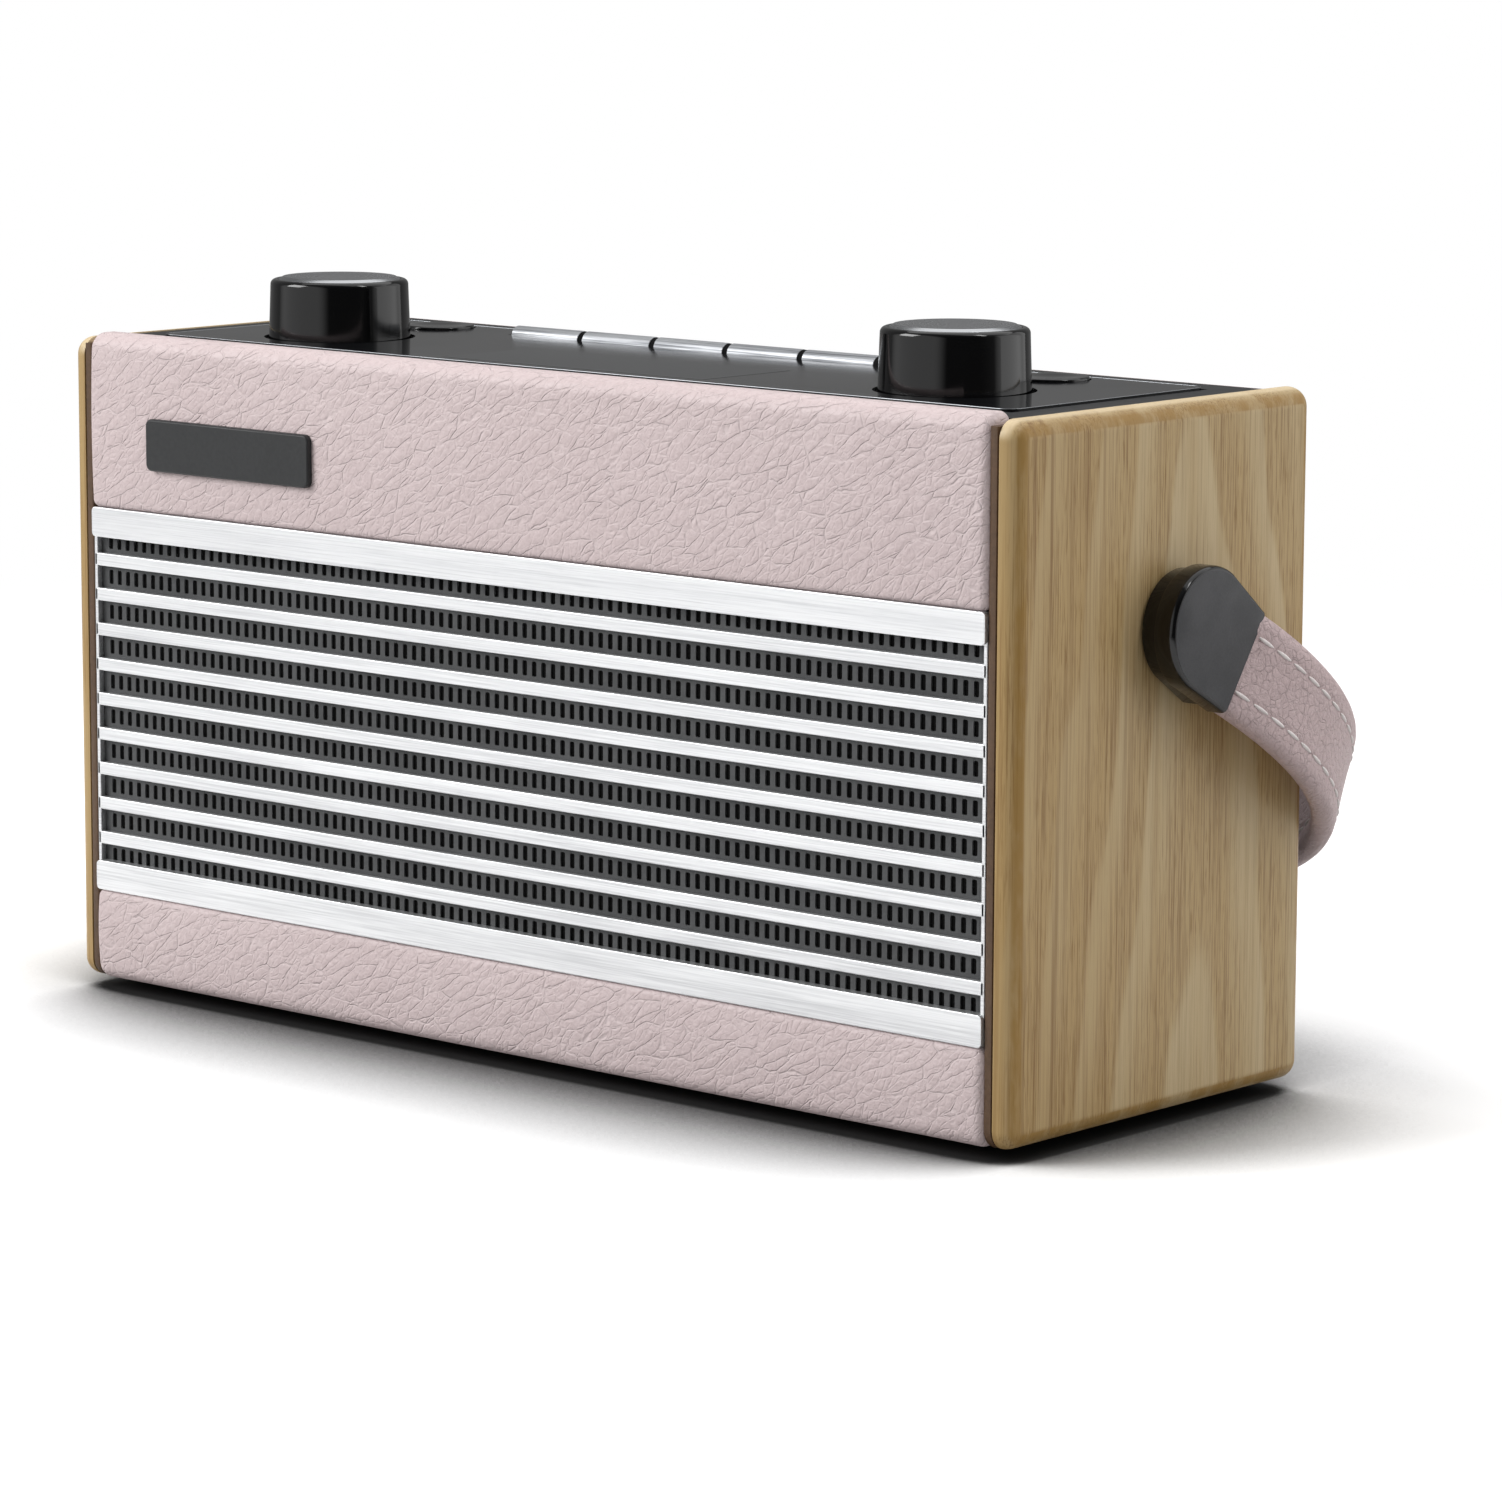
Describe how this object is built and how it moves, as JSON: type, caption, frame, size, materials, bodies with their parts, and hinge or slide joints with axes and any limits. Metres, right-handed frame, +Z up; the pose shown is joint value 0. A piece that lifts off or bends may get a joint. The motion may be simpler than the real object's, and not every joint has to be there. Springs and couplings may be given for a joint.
{
  "type": "portable radio",
  "caption": "Portable radio with grained leathercloth rails and strap handle, wooden cheeks, slatted metal grille, gloss control deck and telescopic aerial.",
  "frame": {"origin": "on the surface the radio stands on, under the middle of the body", "axes": "+X to the radio's right as seen from the front, +Y to the back, +Z up"},
  "size_m": [0.2778, 0.1262, 0.1513],
  "materials": {
    "ash_wood": "satin oiled ash",
    "dark_wood": "brown stained edge",
    "pink_leather": "grained leathercloth",
    "black_gloss": "polished black",
    "black_matte": "fine moulded texture",
    "bright_aluminium": "brushed and anodised",
    "dark_mesh": "satin dark grey",
    "silver": "brushed",
    "chrome": "polished",
    "rubber": "matte",
    "board": "solder-resist green",
    "paper": "doped paper",
    "cell_wrap": "printed film, left plain",
    "display": "dark display"
  },
  "bodies": {
    "cabinet": {"left_cheek": "ash_wood", "right_cheek": "ash_wood", "left_end_board": "dark_wood", "right_end_board": "dark_wood", "base_board": "dark_wood", "feet": "rubber", "front_top_rail": "pink_leather", "front_bottom_rail": "pink_leather", "rear_top_rail": "pink_leather", "rear_bottom_rail": "pink_leather", "baffle": "black_matte", "grille_screen": "dark_mesh", "grille_shutter": "dark_mesh", "grille_slats": "bright_aluminium", "badge_plate": "black_gloss", "top_panel": "black_gloss", "gloss_plate": "black_gloss", "display_module": "display", "button_board": "board", "tact_switches": "silver", "encoders": "silver", "main_board": "board", "left_speaker": "dark_mesh", "right_speaker": "dark_mesh", "speaker_cones": "paper", "back_cover": "black_matte", "battery_tray": "black_matte", "battery_cells": "cell_wrap", "battery_contacts": "silver", "socket_plate": "black_matte", "cover_screws": "silver", "pivot_studs": "silver", "aerial_bracket": "black_matte", "aerial_saddle": "black_matte"},
    "handle": {"left_cap_base": "black_gloss", "left_cap_cover": "black_gloss", "right_cap_base": "black_gloss", "right_cap_cover": "black_gloss", "strap": "pink_leather"},
    "left_knob": {"left_knob": "black_gloss", "left_knob_disc": "silver", "left_shaft": "silver"},
    "right_push": {"right_push_collar": "black_matte"},
    "right_knob": {"right_knob": "black_gloss", "right_knob_disc": "silver", "right_shaft": "silver"},
    "left_round_key": {"left_round_key": "black_gloss"},
    "right_round_key": {"right_round_key": "black_gloss"},
    "battery_door": {"battery_door": "black_matte"},
    "aerial_swivel": {"aerial_swivel": "chrome", "aerial_pin": "silver"},
    "aerial_tube": {"aerial_tube": "chrome"},
    "aerial_middle": {"aerial_middle": "chrome"},
    "aerial_tip": {"aerial_tip": "chrome"},
    "bar_key_1": {"bar_key_1": "bright_aluminium"},
    "bar_key_2": {"bar_key_2": "bright_aluminium"},
    "bar_key_3": {"bar_key_3": "bright_aluminium"},
    "bar_key_4": {"bar_key_4": "bright_aluminium"},
    "bar_key_5": {"bar_key_5": "bright_aluminium"},
    "bar_key_6": {"bar_key_6": "bright_aluminium"}
  },
  "joints": [
    {"name": "handle_swing", "type": "hinge", "parent": "cabinet", "child": "handle", "pos_m": [0, 0.0028, 0.0962], "axis": [1, 0, 0], "range_deg": [0, 124]},
    {"name": "left_knob_turn", "type": "hinge", "parent": "cabinet", "child": "left_knob", "pos_m": [-0.083, -0.0096, 0.1387], "axis": [0, 0, -1], "continuous": true},
    {"name": "right_knob_push", "type": "slide", "parent": "cabinet", "child": "right_push", "axis": [0, 0, -1], "range_m": [0, 0.0005], "stiffness_N_per_m": 2500},
    {"name": "right_knob_turn", "type": "hinge", "parent": "right_push", "child": "right_knob", "pos_m": [0.083, -0.0096, 0.1387], "axis": [0, 0, -1], "continuous": true},
    {"name": "bar_key_1_press", "type": "slide", "parent": "cabinet", "child": "bar_key_1", "axis": [0, 0, -1], "range_m": [0, 0.001], "stiffness_N_per_m": 700},
    {"name": "bar_key_2_press", "type": "slide", "parent": "cabinet", "child": "bar_key_2", "axis": [0, 0, -1], "range_m": [0, 0.001], "stiffness_N_per_m": 700},
    {"name": "bar_key_3_press", "type": "slide", "parent": "cabinet", "child": "bar_key_3", "axis": [0, 0, -1], "range_m": [0, 0.001], "stiffness_N_per_m": 700},
    {"name": "bar_key_4_press", "type": "slide", "parent": "cabinet", "child": "bar_key_4", "axis": [0, 0, -1], "range_m": [0, 0.001], "stiffness_N_per_m": 700},
    {"name": "bar_key_5_press", "type": "slide", "parent": "cabinet", "child": "bar_key_5", "axis": [0, 0, -1], "range_m": [0, 0.001], "stiffness_N_per_m": 700},
    {"name": "bar_key_6_press", "type": "slide", "parent": "cabinet", "child": "bar_key_6", "axis": [0, 0, -1], "range_m": [0, 0.001], "stiffness_N_per_m": 700},
    {"name": "left_round_key_press", "type": "slide", "parent": "cabinet", "child": "left_round_key", "axis": [0, 0, -1], "range_m": [0, 0.001], "stiffness_N_per_m": 700},
    {"name": "right_round_key_press", "type": "slide", "parent": "cabinet", "child": "right_round_key", "axis": [0, 0, -1], "range_m": [0, 0.001], "stiffness_N_per_m": 700},
    {"name": "battery_door_swing", "type": "hinge", "parent": "cabinet", "child": "battery_door", "pos_m": [0, 0.0415, 0.0674], "axis": [-1, 0, 0], "range_deg": [0, 95]},
    {"name": "aerial_turn", "type": "hinge", "parent": "cabinet", "child": "aerial_swivel", "pos_m": [-0.1, 0.043, 0.112], "axis": [0, -1, 0], "range_deg": [0, 180]},
    {"name": "aerial_tilt", "type": "hinge", "parent": "aerial_swivel", "child": "aerial_tube", "pos_m": [-0.1, 0.0514, 0.112], "axis": [0, 0, 1], "range_deg": [0, 90]},
    {"name": "aerial_middle_draw", "type": "slide", "parent": "aerial_tube", "child": "aerial_middle", "axis": [1, 0, 0], "range_m": [0, 0.13]},
    {"name": "aerial_tip_draw", "type": "slide", "parent": "aerial_middle", "child": "aerial_tip", "axis": [1, 0, 0], "range_m": [0, 0.13]}
  ]
}
